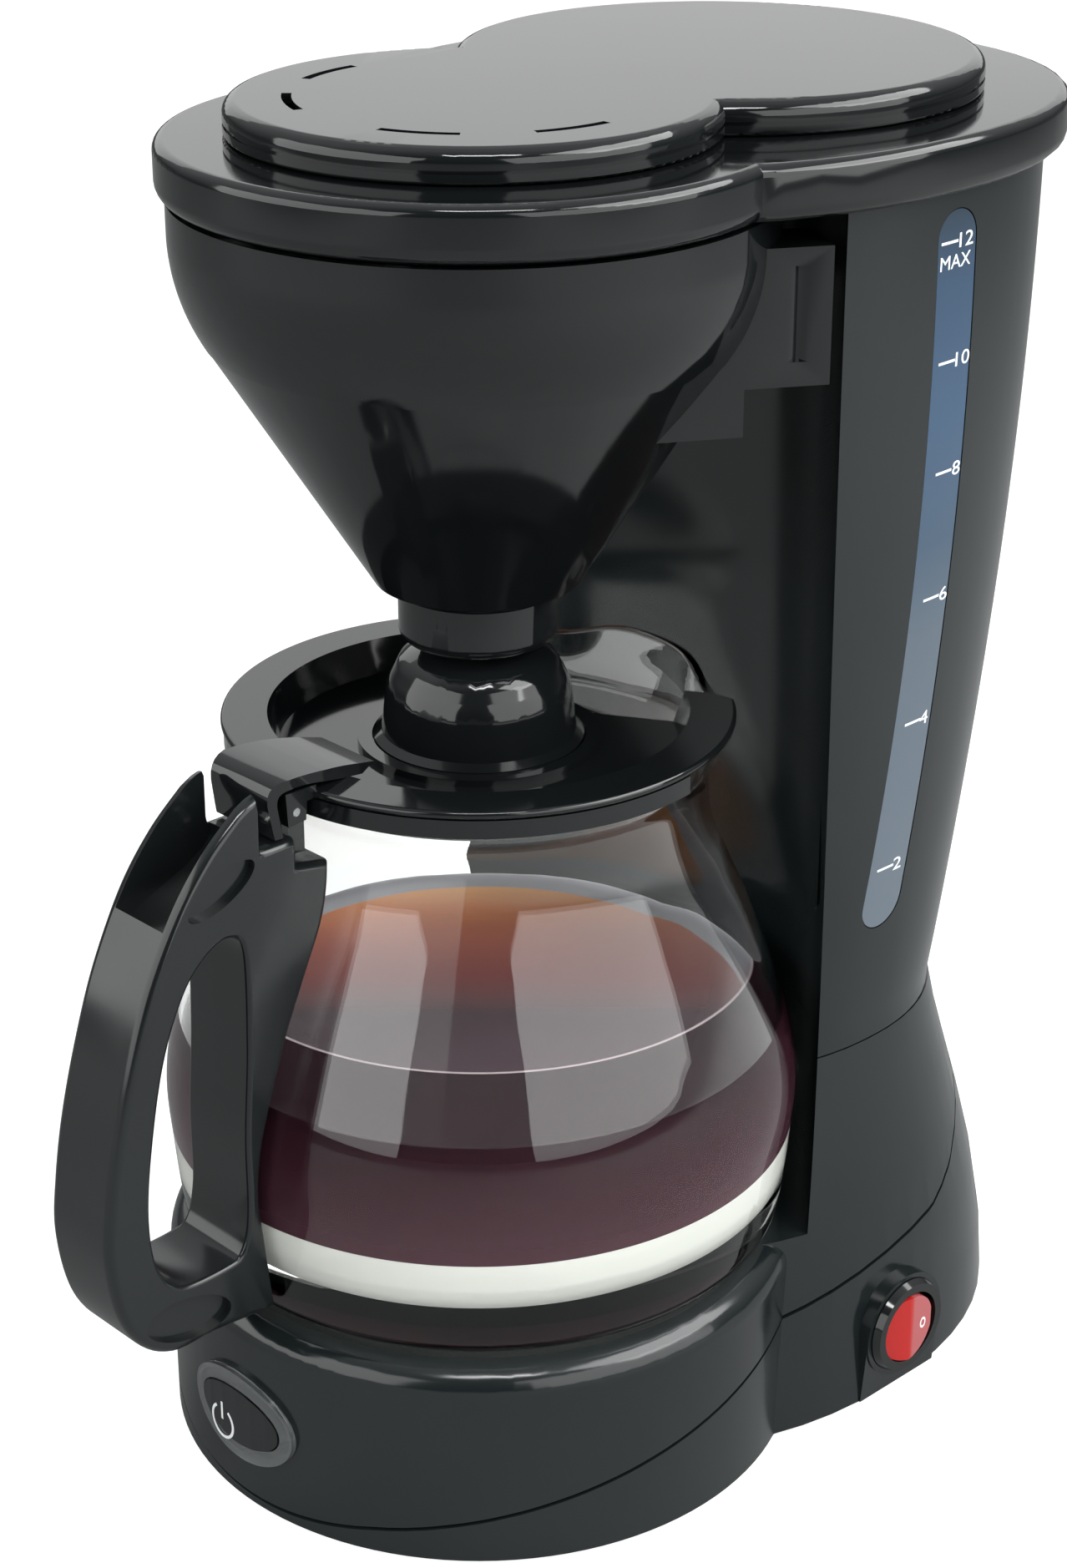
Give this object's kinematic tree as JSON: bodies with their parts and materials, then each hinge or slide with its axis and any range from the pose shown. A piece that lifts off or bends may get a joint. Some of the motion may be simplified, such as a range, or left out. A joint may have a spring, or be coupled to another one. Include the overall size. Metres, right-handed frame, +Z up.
{
  "type": "drip coffee maker",
  "caption": "Drip coffee maker with a waisted tower tank and level window, hinged lid, swing-out filter holder, glass carafe on a warming plate, rocker switch and front button.",
  "frame": {"origin": "middle of the footprint on the table, at the bottom of the rubber feet", "axes": "+Z up; -Y is the front, where the carafe handle points; +X is the side with the level window and the rocker switch"},
  "size_m": [0.159, 0.2776, 0.3283],
  "materials": {
    "housing_plastic": "satin moulded",
    "gloss_black": "glossy moulded",
    "handle_black": "semi-gloss moulded",
    "rubber_black": "matt",
    "steel_plain": "zinc plated",
    "plate_coating": "non-stick coated",
    "cast_aluminium": "as cast",
    "ceramic_cream": "matt",
    "silicone": "translucent satin",
    "white_plastic": "satin",
    "grey_plastic": "satin",
    "window_clear": "translucent polycarbonate",
    "red_silicone": "matt",
    "clear_glass": "clear",
    "switch_black": "semi-gloss",
    "rocker_red": "translucent glossy",
    "smoke_clear": "smoky polycarbonate",
    "button_black": "glossy",
    "board_green": "solder mask"
  },
  "bodies": {
    "housing": {"base_housing": "housing_plastic", "base_tray": "housing_plastic", "rubber_feet": "rubber_black", "base_screws": "steel_plain", "warming_plate": "plate_coating", "plate_seal": "rubber_black", "heating_element": "cast_aluminium", "element_bracket": "steel_plain", "bracket_nut": "steel_plain", "thermostat": "ceramic_cream", "cold_hose": "silicone", "hot_hose": "silicone", "check_valve": "white_plastic", "hose_clips": "steel_plain", "tower_housing": "housing_plastic", "tank_floor": "grey_plastic", "level_window": "window_clear", "riser_tube": "white_plastic", "spray_head": "handle_black", "top_deck": "gloss_black", "lid_hinge_pin": "steel_plain", "holder_hinge_pin": "steel_plain", "switch_bezel": "switch_black", "switch_body": "switch_black", "button_bezel": "smoke_clear", "button_spring": "steel_plain", "control_board": "board_green", "cord_gland": "switch_black"},
    "lid": {"lid": "gloss_black"},
    "filter_holder": {"filter_holder": "gloss_black", "filter_basket": "handle_black", "drip_stop_seal": "red_silicone", "drip_stop_spring": "steel_plain"},
    "drip_stop": {"drip_stop": "white_plastic"},
    "carafe": {"carafe_glass": "clear_glass", "carafe_band": "gloss_black", "carafe_handle": "handle_black", "handle_screws": "steel_plain", "carafe_lid": "gloss_black", "carafe_lid_pin": "steel_plain"},
    "rocker": {"switch_rocker": "rocker_red"},
    "button": {"power_button": "button_black"}
  },
  "joints": [
    {"name": "lid_hinge", "type": "hinge", "parent": "housing", "child": "lid", "pos_m": [0, 0.12225, 0.3224], "axis": [-1, 0, 0], "range_deg": [0, 95]},
    {"name": "holder_swing", "type": "hinge", "parent": "housing", "child": "filter_holder", "pos_m": [-0.06, 0.02675, 0.28], "axis": [0, 0, -1], "range_deg": [0, 80]},
    {"name": "drip_stop_lift", "type": "slide", "parent": "filter_holder", "child": "drip_stop", "axis": [0, 0, 1], "range_m": [0, 0.003], "stiffness_N_per_m": 150, "springref_m": -0.002, "deforming": ["drip_stop_spring"]},
    {"name": "carafe_slide", "type": "slide", "parent": "housing", "child": "carafe", "axis": [0, -1, 0], "range_m": [0, 0.2]},
    {"name": "rocker_tilt", "type": "hinge", "parent": "housing", "child": "rocker", "pos_m": [0.0735, 0.05455, 0.0195], "axis": [0, 0, 1], "range_deg": [0, 16]},
    {"name": "button_press", "type": "slide", "parent": "housing", "child": "button", "axis": [0, 1, 0], "range_m": [0, 0.0018], "stiffness_N_per_m": 400, "springref_m": -0.0005, "deforming": ["button_spring"]}
  ]
}
